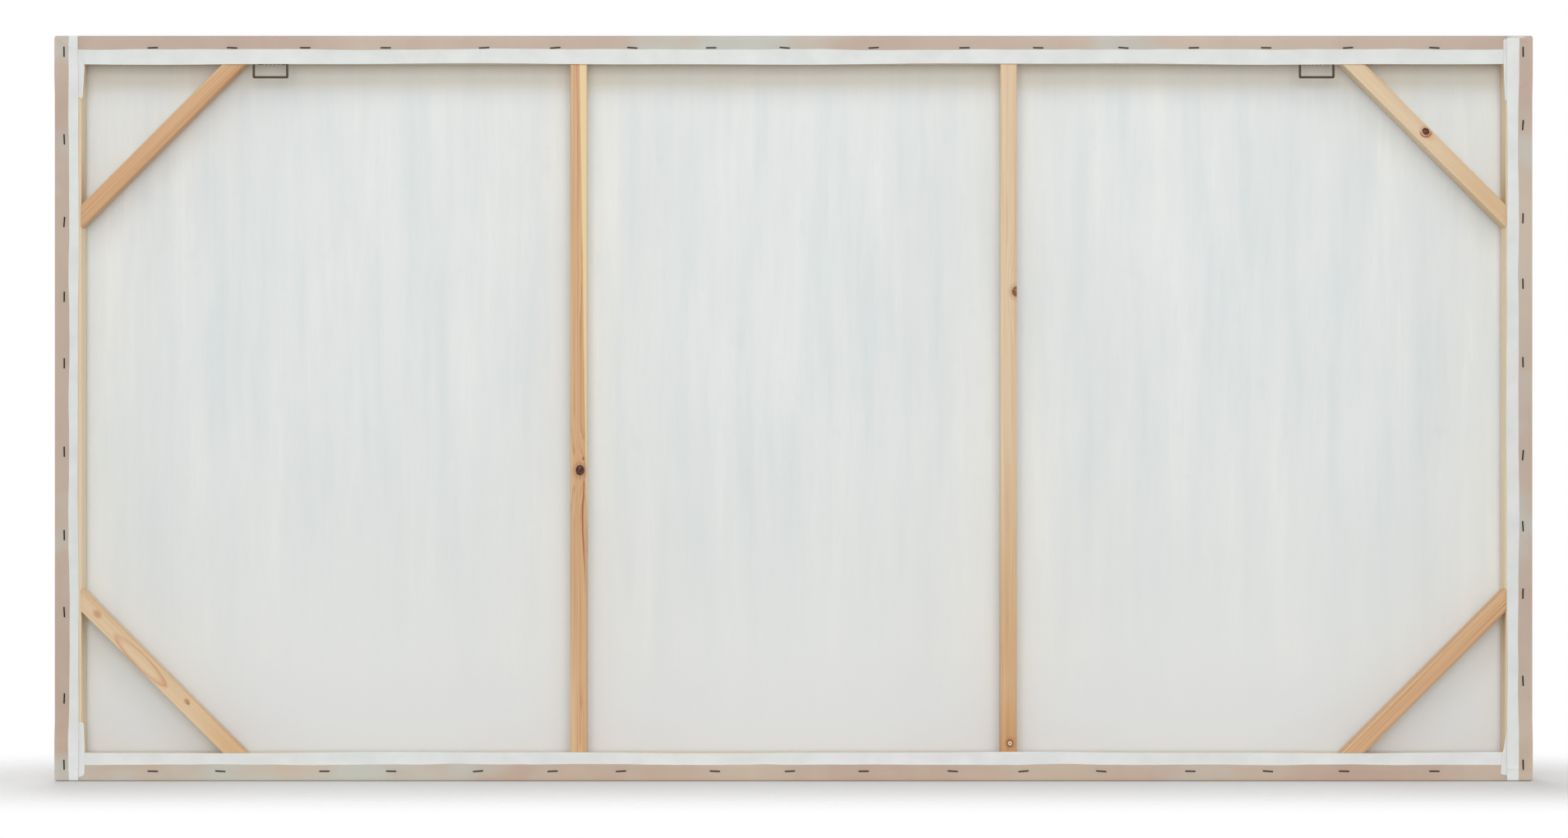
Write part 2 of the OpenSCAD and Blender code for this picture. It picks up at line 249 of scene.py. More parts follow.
def painted_picture(paint, cloth_place):
    """A misty wash: pale mist with tall soft strokes, warmer towards the ground and the edges."""
    axes = paint.put("SeparateXYZ", {0: cloth_place})
    across, up = axes.outputs[0], axes.outputs[1]
    clouds = paint.noise(paint.stretched(cloth_place, (2.2, 1.8, 1)), 1.0, 5.0, 0.6)
    mottled = paint.noise(paint.stretched(cloth_place, (9, 7, 1), location=(3, 1, 0)), 1.0, 4.0, 0.6, 0.4)
    mist = paint.mix(paint.range(clouds, 0.35, 0.65), tint(201, 206, 203), tint(222, 219, 210))
    # Tall strokes of a wide dry brush, each fading out at both ends.
    waver = paint.noise(paint.stretched(cloth_place, (14, 5, 1)), 1.0, 4.0, 0.65)
    swayed = paint.put("CombineXYZ", {
        0: paint.sum("MULTIPLY_ADD", waver, 0.03, across),
        1: paint.sum("MULTIPLY", up, 0.12)}).outputs[0]
    wide = paint.noise(paint.stretched(swayed, (9, 7, 1), location=(5, 2, 0)), 1.0, 4.0, 0.65)
    fine = paint.noise(paint.stretched(swayed, (60, 9, 1), location=(1, 8, 0)), 1.0, 3.0, 0.7)
    fades = paint.noise(paint.stretched(cloth_place, (5, 3, 1), location=(2, 9, 0)), 1.0, 3.0, 0.6)
    stroke = paint.sum("MULTIPLY", paint.range(wide, 0.5, 0.64), paint.range(fades, 0.36, 0.6))
    stroke = paint.sum("MULTIPLY", stroke, paint.range(fine, 0.3, 0.6, 0.45, 0.9))
    mist = paint.mix(stroke, mist, tint(136, 150, 154))
    bright = paint.sum("MULTIPLY", paint.range(wide, 0.44, 0.36), paint.range(fine, 0.35, 0.65, 0.3, 0.9))
    mist = paint.mix(bright, mist, tint(236, 233, 224))
    # Level strokes of ochre and grey for the ground.
    level = paint.noise(paint.stretched(cloth_place, (3.5, 36, 1)), 1.0, 5.0, 0.65)
    ground = paint.mix(paint.range(level, 0.35, 0.65), tint(178, 158, 132), tint(218, 206, 182))
    line = paint.sum("MULTIPLY_ADD", clouds, 0.16, paint.sum("MULTIPLY_ADD", waver, 0.12, up))
    mist = paint.mix(paint.range(line, -0.14, -0.27), mist, ground)
    # Blush and sand close in from the edges, further in some places than in others.
    sand = paint.mix(paint.range(clouds, 0.38, 0.62), tint(184, 160, 144), tint(197, 180, 162))
    sand = paint.mix(paint.range(mottled, 0.55, 0.75, 0, 0.5), sand, tint(178, 152, 138))
    cool = paint.noise(paint.stretched(cloth_place, (3.4, 5, 1), location=(7, 4, 0)), 1.0, 3.0, 0.55)
    sand = paint.mix(paint.range(cool, 0.56, 0.66, 0, 0.85), sand, tint(191, 194, 186))
    from_side = paint.sum("SUBTRACT", half_w, paint.sum("ABSOLUTE", across))
    from_end = paint.sum("SUBTRACT", mid_z, paint.sum("ABSOLUTE", up))
    inside = paint.sum("SMOOTH_MIN", paint.sum("MULTIPLY", from_side, 0.6), from_end, 0.1)
    ragged = paint.sum("MULTIPLY_ADD", paint.sum("SUBTRACT", mottled, 0.5), 0.22, inside)
    ragged = paint.sum("MULTIPLY_ADD", paint.sum("SUBTRACT", clouds, 0.5), 0.3, ragged)
    return paint.mix(paint.range(ragged, 0.01, 0.15, 0.92, 0), mist, sand)


def cloth_front():
    """Primed and printed cotton. The print stops on the back, and the bare primer shows beyond it."""
    paint = Graph("printed_canvas")
    cloth_place = paint.put("UVMap", {}, uv_map="Cloth").outputs[0]
    border = paint.put("SeparateXYZ", {0: paint.put("UVMap", {}, uv_map="Border").outputs[0]}).outputs[0]
    bleed = paint.noise(paint.stretched(cloth_place, (500, 500, 1)), 1.0, 3.0)
    wave = paint.noise(paint.stretched(cloth_place, (9, 9, 1)), 1.0, 2.0)
    edge = paint.sum("MULTIPLY_ADD", bleed, 0.5 * MM, border)
    edge = paint.sum("MULTIPLY_ADD", paint.sum("SUBTRACT", wave, 0.5), 5 * MM, edge)
    past_print = paint.range(edge, 0.1 * MM, 0.5 * MM)
    picture = painted_picture(paint, cloth_place)
    primer_noise = paint.noise(paint.stretched(cloth_place, (30, 30, 1)), 1.0, 4.0)
    primer = paint.mix(paint.range(primer_noise, 0.35, 0.65), tint(225, 227, 225), tint(218, 220, 218))
    paint.link(paint.mix(past_print, picture, primer), paint.shader.inputs["Base Color"])
    gloss = paint.range(primer_noise, 0.3, 0.7, 0.62, 0.74)
    paint.link(gloss, paint.shader.inputs["Roughness"])
    paint.shader.inputs["Specular IOR Level"].default_value = 0.3
    paint.bump(weave(paint, cloth_place, 0.7 * MM), 0.08 * MM)
    return paint.material


def cloth_back():
    """The unpainted side, with a little of the picture showing through as pale upright streaks."""
    paint = Graph("canvas_back")
    cloth_place = paint.put("UVMap", {}, uv_map="Cloth").outputs[0]
    up = paint.put("SeparateXYZ", {0: cloth_place}).outputs[1]
    cloudy = paint.noise(paint.stretched(cloth_place, (6, 3, 1)), 1.0, 5.0, 0.6)
    bare = paint.mix(paint.range(cloudy, 0.35, 0.65), tint(231, 234, 233), tint(227, 230, 229))
    streaks = paint.noise(paint.stretched(cloth_place, (26, 2.2, 1)), 1.0, 5.0, 0.65)
    bare = paint.mix(paint.range(streaks, 0.47, 0.68, 0, 0.5), bare, tint(212, 221, 223))
    bare = paint.mix(paint.range(streaks, 0.45, 0.3, 0, 0.45), bare, tint(243, 244, 240))
    blots = paint.noise(paint.stretched(cloth_place, (34, 14, 1), location=(6, 2, 0)), 1.0, 4.0, 0.7)
    bare = paint.mix(paint.range(blots, 0.58, 0.75, 0, 0.4), bare, tint(218, 223, 222))
    threads = paint.noise(paint.stretched(cloth_place, (420, 30, 1)), 1.0, 2.0)
    bare = paint.mix(paint.range(threads, 0.3, 0.7, 0, 0.05), bare, tint(200, 205, 205))
    # Painted shade: the cloth turns a little darker towards the bottom, where less of the light reaches.
    low = paint.range(paint.sum("MULTIPLY_ADD", cloudy, 0.2, up), 0.1, -0.34)
    bare = paint.mix(low, bare, tint(228, 229, 226))
    bare = paint.mix(paint.range(up, -0.3, -0.4), bare, tint(223, 225, 226))
    # Painted warm shade just under the top bar, for the bar's shadow and the warm light its wood bounces,
    # with the picture's sandy top edge showing through there too.
    under_bar = inside_top - mid_z
    wavy_up = paint.sum("MULTIPLY_ADD", blots, 6 * MM, up)
    painted_shade_under_top_bar = paint.range(wavy_up, under_bar - 36 * MM, under_bar - 18 * MM)
    bare = paint.mix(paint.sum("MULTIPLY", painted_shade_under_top_bar, 0.45), bare, tint(224, 215, 198))
    paint.link(bare, paint.shader.inputs["Base Color"])
    paint.shader.inputs["Roughness"].default_value = 0.85
    paint.shader.inputs["Specular IOR Level"].default_value = 0.2
    paint.bump(weave(paint, cloth_place, 0.7 * MM), 0.08 * MM)
    return paint.material


def cloth_cut():
    """The cut edge, where the raw cream cotton shows."""
    paint = Graph("cut_cotton")
    cloth_place = paint.put("UVMap", {}, uv_map="Cloth").outputs[0]
    fluff = paint.noise(cloth_place, 2500.0, 3.0)
    cotton = paint.mix(fluff, tint(236, 228, 208), tint(206, 192, 160))
    paint.link(cotton, paint.shader.inputs["Base Color"])
    paint.shader.inputs["Roughness"].default_value = 0.95
    paint.bump(fluff, 0.1 * MM)
    return paint.material


class Stick:
    """A stick of pine, painted in its own directions: along it, into its depth and across it."""

    def __init__(self, name, middle, turn, pale, dark):
        self.paint = Graph(name)
        object_place = self.paint.put("TexCoord", {}).outputs["Object"]
        mapping = {"Vector": object_place, "Location": middle, "Rotation": (0, turn, 0)}
        self.place = self.paint.put("Mapping", mapping, vector_type="TEXTURE").outputs[0]
        axes = self.paint.put("SeparateXYZ", {0: self.place})
        self.along, self.across = axes.outputs[0], axes.outputs[2]
        self.pale, self.dark = pale, dark
        self.bend = None
        self.knots = []

    def grain_noise(self, along, across, detail=3.0, shift=0.0):
        place = self.paint.stretched(self.place, (along, across, across), (shift, 0, 0))
        return self.paint.noise(place, 1.0, detail, 0.6)

    def knot(self, along, across, radius):
        """Bends the grain round a knot, and keeps the knot to be painted over it."""
        paint = self.paint
        far = paint.distance(paint.stretched(self.place, (0.85, 0.35, 1)), (0.85 * along, 0, across))
        long = paint.distance(paint.stretched(self.place, (0.3, 0.35, 1)), (0.3 * along, 0, across))
        squared = paint.sum("MULTIPLY", paint.sum("POWER", long, 2.0), -1 / (2.0 * radius) ** 2)
        swell = paint.sum("MULTIPLY", paint.sum("POWER", math.e, squared), radius)
        self.bend = swell if self.bend is None else paint.sum("ADD", self.bend, swell)
        self.knots.append(paint.sum("DIVIDE", far, radius))

    def grain(self, pith, ring, contrast=0.8):
        """Growth rings round a pith that lies this far off the stick, in depth and across."""
        paint = self.paint
        wander = self.grain_noise(2.5, 25)
        crowding = self.grain_noise(1.5, 160, 2.0, 11.0)
        off = paint.distance(paint.stretched(self.place, (0.012, 1, 1)), (0, *pith))
        rings = paint.sum("MULTIPLY_ADD", wander, 6 * MM, off)
        rings = paint.sum("MULTIPLY_ADD", crowding, 2.2 * ring, rings)
        if self.bend is not None:
            rings = paint.sum("ADD", rings, self.bend)
        phase = paint.sum("FRACT", paint.sum("DIVIDE", rings, ring))
        early = paint.sum("POWER", paint.range(phase, 0.2, 0.9), 2.5)
        strength = paint.range(self.grain_noise(2.5, 130, 2.0, 13.0), 0.35, 0.65, 0.15, 1)
        early = paint.sum("MULTIPLY", early, strength)
        self.late = paint.sum("MULTIPLY", early, paint.range(phase, 0.9, 0.99, 1, 0))
        self.fibre = self.grain_noise(7, 800)
        broad = self.grain_noise(1.2, 60, 2.0, 3.0)
        lines = self.grain_noise(2.2, 420, 2.0, 7.0)
        colour = paint.mix(paint.range(broad, 0.35, 0.75, 0, 0.6), self.pale, self.dark)
        colour = paint.mix(paint.sum("MULTIPLY", self.late, contrast), colour, self.dark)
        deep = paint.mix(0.35, self.dark, tint(120, 66, 34), "MULTIPLY")
        darkest = paint.sum("MULTIPLY", paint.sum("POWER", self.late, 4.0), 0.3 * contrast)
        colour = paint.mix(darkest, colour, deep)
        colour = paint.mix(paint.range(lines, 0.6, 0.7, 0, 0.4 * contrast), colour, self.dark, "MULTIPLY")
        self.colour = paint.mix(paint.range(self.fibre, 0.35, 0.75, 0, 0.22), colour, self.dark, "MULTIPLY")

    def tone(self, from_along, to_along, shade, most=1.0):
        """Deepens the wood towards one end."""
        share = self.paint.range(self.along, from_along, to_along, 0, most)
        self.colour = self.paint.mix(share, self.colour, shade, "MULTIPLY")

    def sapwood(self, edge, slope, shade):
        """A pale strip beyond a wandering line, this far across and sloping along the stick."""
        paint = self.paint
        line = paint.sum("MULTIPLY_ADD", self.along, slope, edge)
        line = paint.sum("MULTIPLY_ADD", self.grain_noise(30, 0), 1.2 * MM, line)
        beyond = paint.sum("SUBTRACT", self.across, line)
        self.colour = paint.mix(paint.range(beyond, 0, 0.7 * MM), self.colour, shade)
        ticks = paint.sum("MULTIPLY", paint.range(self.grain_noise(160, 0, 2.0, 5.0), 0.66, 0.72),
                          paint.range(paint.sum("ABSOLUTE", beyond), 0.2 * MM, 0.7 * MM, 0.8, 0))
        self.colour = paint.mix(ticks, self.colour, tint(132, 96, 60))

    def resin(self, from_along, to_along, edge, swing, width):
        """A red-brown thread of resin that swings in from the edge below a knot."""
        paint = self.paint
        middle = (from_along * 2 + to_along) / 3
        reach = abs(from_along - to_along) / 3
        away = paint.sum("DIVIDE", paint.sum("SUBTRACT", self.along, middle), reach)
        bell = paint.sum("POWER", math.e, paint.sum("MULTIPLY", paint.sum("MULTIPLY", away, away), -1.0))
        line = paint.sum("MULTIPLY_ADD", bell, -swing, edge)
        line = paint.sum("MULTIPLY_ADD", self.grain_noise(40, 0, 2.0, 2.0), 1.0 * MM, line)
        off = paint.sum("ABSOLUTE", paint.sum("SUBTRACT", self.across, line))
        half = paint.sum("MULTIPLY_ADD", bell, 0.35 * width, 0.25 * width)
        inside = paint.range(paint.sum("DIVIDE", off, half), 0.6, 1.3, 1, 0)
        ends = paint.sum("MULTIPLY", paint.range(self.along, from_along, from_along - 4 * MM),
                         paint.range(self.along, to_along, to_along + 60 * MM))
        self.colour = paint.mix(paint.sum("MULTIPLY", inside, paint.sum("MULTIPLY", ends, 0.85)),
                                self.colour, tint(140, 72, 36))

    def oval(self, along, across, length, width, shade):
        """A growth ring that the saw has just grazed, left as one long oval line."""
        paint = self.paint
        sway = paint.sum("MULTIPLY_ADD", self.grain_noise(14, 0, 2.0, 4.0), 3.5 * MM, self.across)
        scale = {"Vector": paint.put("CombineXYZ", {0: self.along, 1: sway}).outputs[0],
                 "Location": (-along * 2 / length, -(across + 1.75 * MM) * 2 / width, 0),
                 "Scale": (2 / length, 2 / width, 1)}
        spot = paint.put("Mapping", scale).outputs[0]
        reach = paint.length(spot)
        ring = paint.sum("MULTIPLY", paint.range(reach, 0.62, 0.94), paint.range(reach, 0.96, 1.08, 1, 0))
        faint = paint.range(self.grain_noise(20, 60, 2.0, 9.0), 0.3, 0.6, 0.45, 1)
        self.colour = paint.mix(paint.sum("MULTIPLY", ring, faint), self.colour, shade)

    def soft_spot(self, along, across, radius, shade, most=0.8):
        """The blurred stain of a knot that lies just under the surface."""
        paint = self.paint
        far = paint.distance(paint.stretched(self.place, (0.7, 0, 1)), (0.7 * along, 0, across))
        self.colour = paint.mix(paint.range(far, 0.5 * radius, 1.3 * radius, most, 0), self.colour, shade)

    def crescent(self, along, across, radius, shade):
        """A reddish ring that shows on the lower side of a knot."""
        paint = self.paint
        from_knot = {0: self.place, 1: (along, 0, across)}
        spot = paint.put("VectorMath", from_knot, operation="SUBTRACT").outputs[0]
        spot = paint.stretched(spot, (1, 0, 1))
        far = paint.length(spot)
        ragged = paint.sum("MULTIPLY_ADD", self.grain_noise(300, 300), 1.5 * MM, far)
        ring = paint.sum("MULTIPLY", paint.range(ragged, radius - 0.3 * MM, radius + 0.5 * MM),
                         paint.range(ragged, radius + 1.5 * MM, radius + 2.3 * MM, 1, 0))
        lower = {0: spot, 1: (-0.7, 0, -0.7)}
        down = paint.put("VectorMath", lower, operation="DOT_PRODUCT").outputs["Value"]
        share = paint.sum("MULTIPLY", ring, paint.range(down, -1 * MM, 3 * MM, 0, 0.85))
        self.colour = paint.mix(share, self.colour, shade)

    def paint_knots(self, heart, rim, open_heart=False):
        """Paints the knots over the grain, each with a darker rim."""
        paint = self.paint
        core = self.knots[0]
        for other in self.knots[1:]:
            core = paint.sum("MINIMUM", core, other)
        ragged = paint.noise(paint.stretched(self.place, (700, 700, 700)), 1.0, 3.0, 0.6)
        core = paint.sum("MULTIPLY_ADD", paint.sum("SUBTRACT", ragged, 0.5), 0.35, core)
        self.colour = paint.mix(paint.range(core, 0.95, 2.2, 0.5, 0), self.colour, self.dark, "MULTIPLY")
        check = paint.noise(paint.stretched(self.place, (420, 420, 420), location=(4, 0, 0)), 1.0, 1.0)
        brown = paint.mix(paint.range(check, 0.54, 0.68), rim, heart)
        if open_heart:
            pale = paint.sum("MULTIPLY", paint.range(core, 0.15, 0.3), paint.range(core, 0.55, 0.75, 1, 0))
            brown = paint.mix(pale, rim, tint(226, 200, 168))
        self.colour = paint.mix(paint.range(core, 0.9, 1.02, 1, 0), self.colour, brown)
        edge = paint.sum("MULTIPLY", paint.range(core, 0.7, 0.85), paint.range(core, 0.95, 1.1, 1, 0))
        self.colour = paint.mix(edge, self.colour, rim)

    def finish(self):
        paint = self.paint
        paint.link(self.colour, paint.shader.inputs["Base Color"])
        paint.link(paint.range(self.fibre, 0.3, 0.7, 0.5, 0.68), paint.shader.inputs["Roughness"])
        paint.shader.inputs["Specular IOR Level"].default_value = 0.35
        paint.bump(paint.sum("MULTIPLY_ADD", self.late, -0.35, self.fibre), 0.12 * MM)
        return paint.material


def sheet_metal(name, base, worn, roughness, metallic=1.0, specular=0.5):
    """Plated steel with a cloudy finish and fine rolling marks."""
    paint = Graph(name)
    place = paint.put("TexCoord", {}).outputs["Object"]
    cloud = paint.noise(place, 160.0, 4.0, 0.6)
    grit = paint.noise(paint.stretched(place, (300, 300, 2500)), 1.0, 2.0)
    paint.link(paint.mix(paint.range(cloud, 0.35, 0.7), base, worn), paint.shader.inputs["Base Color"])
    rough = paint.range(cloud, 0.3, 0.7, roughness - 0.08, roughness + 0.1)
    paint.link(rough, paint.shader.inputs["Roughness"])
    paint.shader.inputs["Metallic"].default_value = metallic
    paint.shader.inputs["Specular IOR Level"].default_value = specular
    paint.bump(grit, 0.03 * MM)
    return paint.material


# ---- The cloth ----

round_r = 1.8 * MM
shell_t = 0.5 * MM
half_top = mid_z - round_r
half_side = half_w - round_r
depth = back_y - face_y
wall = depth - 2 * round_r
arc = math.pi / 2 * round_r
wrap = 2 * arc + wall

# Width of cloth turned over the back on each side, and of print on that fold.
fold_w = {"top": 35 * MM, "bottom": 35 * MM, "left": 29.2 * MM, "right": 31.8 * MM}
print_w = {"top": 17 * MM, "bottom": 20 * MM, "left": 18 * MM, "right": 17.5 * MM}
fold_layer = 2 * cloth_t
# The top right fold was turned in far enough to bring print round its end.
print_lap = 4 * MM
# The border's value where the print has no end near.
deep_in_print = -15 * MM
# How far in from the side edge the tucked cloth starts, under the side fold.
tuck_start = 14 * MM

# How the tucked cloth shows at each corner, in millimetres from the side edge and from the end.
# tail is its inner edge, and creases are the ridges that it makes in the cloth above it.
corners = {
    ("left", "top"): {
        "tail": [(29, 19), (37.4, 38), (34.4, 78), (27, 74.5)],
        "creases": [((0, 1), (19, 13), 0.5), ((17, 14), (29, 14), 0.25), ((1, 47), (17, 59), 0.3)]},
    ("right", "top"): {
        "tail": [(34, 4), (36.2, 5), (35.8, 40), (34, 80), (30, 80)],
        "creases": [((2, 9), (19, 3), 0.4), ((1, 45), (17, 66), 0.45), ((20, 5), (33, 9), 0.2)]},
    ("left", "bottom"): {
        "tail": [(30, 4.5), (36.9, 7.5), (37.2, 40), (36, 72), (28, 72)],
        "creases": [((0, 14), (18, 13.2), 0.5), ((18, 17), (30, 16), 0.2)]},
    ("right", "bottom"): {
        "tail": [(30.5, 6.5), (39.3, 8.5), (38.6, 20), (36, 39.5), (31, 67), (28, 68)],
        "creases": [((0, 15), (30, 15.4), 0.55), ((4, 38), (14, 42), 0.2)]},
}


def row_of_staples(node, axis):
    """The middle of each crown in a row, as (x, z)."""
    points = sorted((v.co.copy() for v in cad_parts[node].data.vertices), key=lambda p: p[axis])
    groups = [[points[0]]]
    for before, point in zip(points, points[1:]):
        if point[axis] - before[axis] > 20 * MM:
            groups.append([])
        groups[-1].append(point)
    spots = []
    for group in groups:
        xs = [p.x for p in group]
        zs = [p.z for p in group]
        spots.append(((min(xs) + max(xs)) / 2, (min(zs) + max(zs)) / 2))
    return spots


staple_spots = {
    "top": row_of_staples("top_staples", 0),
    "bottom": row_of_staples("bottom_staples", 0),
    "left": row_of_staples("left_staples", 2),
    "right": row_of_staples("right_staples", 2),
}


def held_down(side, x, z):
    """1 at a staple, falling to 0 about a centimetre away."""
    near = min((x - sx) ** 2 + (z - sz) ** 2 for sx, sz in staple_spots[side])
    return math.exp(-near / (7 * MM) ** 2)


def crest(side, end, s, e):
    """Height of the creases at a corner, at s from the side edge and e from the end."""
    height = 0
    for first, last, rise in corners[side, end]["creases"]:
        a, b = Vector(first) * MM, Vector(last) * MM
        run = b - a
        share = min(max((Vector((s, e)) - a).dot(run) / run.length_squared, 0), 1)
        off = (Vector((s, e)) - a - run * share).length
        height += 1.5 * rise * MM * math.exp(-(off / (1.3 * MM)) ** 2)
    return height


def long_flap_width(side, x):
    """Width of the top or bottom fold, cut by hand and so a little uneven."""
    wave = math.sin(9 * x + (1 if side == "top" else 4)) + 0.5 * math.sin(23 * x + 2)
    return fold_w[side] + 0.7 * MM * wave


def side_flap_width(side, z):
    """The same for the side folds."""
    wave = math.sin(11 * z + (0 if side == "left" else 3)) + 0.4 * math.sin(31 * z)
    return fold_w[side] + 0.6 * MM * wave


def long_flap_height(side, x, z, inset):
    """How far the cloth of the top or bottom fold stands off its lowest place."""
    puff = 0.25 * MM * smooth(inset, round_r, 7 * MM)
    lift = 0.5 * MM * smooth(inset, 24 * MM, fold_w[side]) * (1 + math.sin(17 * x + 1) * math.sin(41 * x))
    from_side = half_w - abs(x)
    under = smooth(from_side, 36 * MM, 44 * MM)
    dip = 0.35 * MM * (1 - smooth(from_side, 6 * MM, 20 * MM)) * smooth(inset, round_r, 6 * MM)
    return (puff + lift * under) * (1 - held_down(side, x, z)) * (0.2 + 0.8 * under) - dip


def side_flap_height(side, x, z, inset):
    """The same for the side folds, which climb over the tucked cloth at their ends."""
    end = "top" if z > mid_z else "bottom"
    e = min(z, top_z - z)
    s = half_w - abs(x)
    pad = fold_layer * (1 - smooth(e, 42 * MM, 92 * MM)) * smooth(inset, round_r, 5 * MM)
    puff = 0.25 * MM * smooth(inset, round_r, 7 * MM)
    lift = 0.4 * MM * smooth(inset, 20 * MM, fold_w[side]) * (1 + math.sin(19 * z + 2) * math.sin(37 * z))
    ridge = crest(side, end, s, e) * smooth(inset, round_r, 3 * MM)
    return pad + (puff + lift + ridge) * (1 - held_down(side, x, z))


class Sheet:
    """Collects the cloth's faces, each with its place on the flat cloth and past the print."""

    def __init__(self):
        self.mesh = bmesh.new()
        self.cloth = self.mesh.loops.layers.uv.new("Cloth")
        self.border = self.mesh.loops.layers.uv.new("Border")

    def face(self, points, outward):
        """points are (place, place on the flat cloth, distance past the print)."""
        corners_made = [self.mesh.verts.new(point[0]) for point in points]
        made = self.mesh.faces.new(corners_made)
        for loop, point in zip(made.loops, points):
            loop[self.cloth].uv = point[1]
            loop[self.border].uv = (point[2], 0)
        made.normal_update()
        if made.normal.dot(outward) < 0:
            made.normal_flip()

    def grid(self, rows, outward):
        for row, after in zip(rows, rows[1:]):
            for i in range(len(row) - 1):
                corner = [row[i], row[i + 1], after[i + 1], after[i]]
                ring = [p for k, p in enumerate(corner) if (p[0] - corner[k - 1][0]).length > 0.01 * MM]
                if len(ring) > 2:
                    middle = sum((p[0] for p in ring), Vector()) / len(ring)
                    self.face(ring, outward(middle))


def steps(low, high, count):
    return [low + (high - low) * i / count for i in range(count + 1)]


face_step = 15 * MM
x_stops = steps(-half_side, half_side, round(2 * half_side / face_step))
z_stops = steps(mid_z - half_top, mid_z + half_top, round(2 * half_top / face_step))


def outward_from_core(middle):
    """Away from the middle of the bar that the cloth wraps."""
    inner = 12 * MM
    x = max(-half_w + inner, min(half_w - inner, middle.x))
    z = max(inner, min(top_z - inner, middle.z))
    return Vector((middle.x - x, middle.y - (face_y + back_y) / 2, middle.z - z))


def corner_step(x, z):
    """How far the side's cloth stands out where it lies over the cloth brought round the corner."""
    e = min(z, top_z - z)
    if abs(x) < half_side:
        return 0
    return 0.6 * MM * smooth(e, 2.3 * MM, 3.1 * MM) * (1 - smooth(e, 45 * MM, 80 * MM))


def wrapped(inner, normal, travel):
    """A point on the cloth, this far out from the flat face, and its place on the flat cloth."""
    flat = (inner[0] + normal[0] * travel, inner[1] - mid_z + normal[1] * travel)
    if travel <= arc:
        turn = travel / round_r
        out, y = round_r * math.sin(turn), face_y + round_r * (1 - math.cos(turn))
    elif travel <= arc + wall:
        out, y = round_r, face_y + round_r + travel - arc
    else:
        turn = (travel - arc - wall) / round_r
        out, y = round_r * math.cos(turn), back_y - round_r + round_r * math.sin(turn)
    x, z = inner[0] + normal[0] * out, inner[1] + normal[1] * out
    on_side = smooth(travel, arc * 0.6, arc * 1.3) * (1 - smooth(travel, arc + wall, wrap - 0.4 * MM))
    over = corner_step(x, z) * on_side
    x += normal[0] * over
    return Vector((x, y, z)), flat, deep_in_print


def fine_stops(stops, near_count, count, low, high):
    """More stops, closest within a hand's breadth of the ends."""
    fine = []
    for a, b in zip(stops, stops[1:]):
        middle = (a + b) / 2
        near = middle - low < 90 * MM or high - middle < 90 * MM
        fine += steps(a, b, near_count if near else count)[:-1]
    return fine + [stops[-1]]


fine_x = fine_stops(x_stops, 6, 5, -half_side, half_side)
fine_z = fine_stops(z_stops, 12, 5, z_stops[0], z_stops[-1])


def wrap_corner(sheet, x_sign, z_sign, travels):
    """The rounded end of the bars, between two edges."""
    centre = (x_sign * half_side, mid_z + z_sign * half_top)
    normals = [(x_sign * math.cos(a), z_sign * math.sin(a)) for a in steps(0, math.pi / 2, 4)]
    sheet.grid([[wrapped(centre, n, t) for n in normals] for t in travels], outward_from_core)


def wrap_edge(sheet, inners, fine_inners, normal, coarse_travels, fine_travels):
    """One edge from the face round to the back, coarse in front and fine behind."""
    sheet.grid([[wrapped(p, normal, t) for p in inners] for t in coarse_travels], outward_from_core)
    sheet.grid([[wrapped(p, normal, t) for p in fine_inners] for t in fine_travels], outward_from_core)
    for a, b in zip(inners, inners[1:]):
        between = [p for p in fine_inners if min(a, b) <= p <= max(a, b)]
        ring = [wrapped(a, normal, coarse_travels[-1])]
        ring += [wrapped(p, normal, fine_travels[0]) for p in between]
        ring += [wrapped(b, normal, coarse_travels[-1])]
        middle = sum((p[0] for p in ring), Vector()) / len(ring)
        sheet.face(ring, outward_from_core(middle))


def make_face_and_edges(sheet):
    rows = [[(Vector((x, face_y, z)), (x, z - mid_z), deep_in_print) for x in x_stops] for z in z_stops]
    sheet.grid(rows, lambda middle: Vector((0, -1, 0)))
    coarse = steps(0, arc, 4) + steps(arc, arc + wall * 0.9, 4)[1:]
    fine = [arc + wall * 0.94] + steps(arc + wall, wrap, 4)
    for x_sign in (-1, 1):
        side = [(x_sign * half_side, z) for z in z_stops]
        fine_side = [(x_sign * half_side, z) for z in fine_z]
        wrap_edge(sheet, side, fine_side, (x_sign, 0), coarse, fine)
        for z_sign in (-1, 1):
            wrap_corner(sheet, x_sign, z_sign, coarse + fine)
    for z_sign in (-1, 1):
        z = mid_z + z_sign * half_top
        wrap_edge(sheet, [(x, z) for x in x_stops], [(x, z) for x in fine_x], (0, z_sign), coarse, fine)


def towards_back(middle):
    return Vector((0, 1, 0))


def make_long_flap(sheet, side):
    sign = 1 if side == "top" else -1
    rows = []
    for share in steps(0, 1, 11):
        row = []
        for x in fine_x:
            inset = round_r + share * (long_flap_width(side, x) - round_r)
            z = mid_z + sign * (mid_z - inset)
            y = back_y + long_flap_height(side, x, z, inset)
            travel = wrap + inset - round_r
            flat = (x, sign * (half_top + travel))
            row.append((Vector((x, y, z)), flat, inset - print_w[side]))
        rows.append(row)
    sheet.grid(rows, towards_back)


def make_side_flap(sheet, side):
    sign = 1 if side == "left" else -1
    columns = []
    for share in steps(0, 1, 14):
        column = []
        for z in fine_z:
            inset = round_r + share * (side_flap_width(side, z) - round_r)
            x = sign * (half_w - inset)
            y = back_y + side_flap_height(side, x, z, inset)
            travel = wrap + inset - round_r
            printed_end = side == "right" and z > top_z - print_lap
            past = -1 * MM if printed_end else inset - print_w[side]
            column.append((Vector((x, y, z)), (sign * (half_side + travel), z - mid_z), past))
        columns.append(fold_ends(column, side, share))
    sheet.grid(columns, side_outward)


def side_outward(middle):
    """Out of the back, and round the folded ends."""
    e = min(middle.z, top_z - middle.z)
    lean = Vector((0, 0.4, math.copysign(1, middle.z - mid_z)))
    return lean if e < round_r * 0.7 else Vector((0, 1, 0))


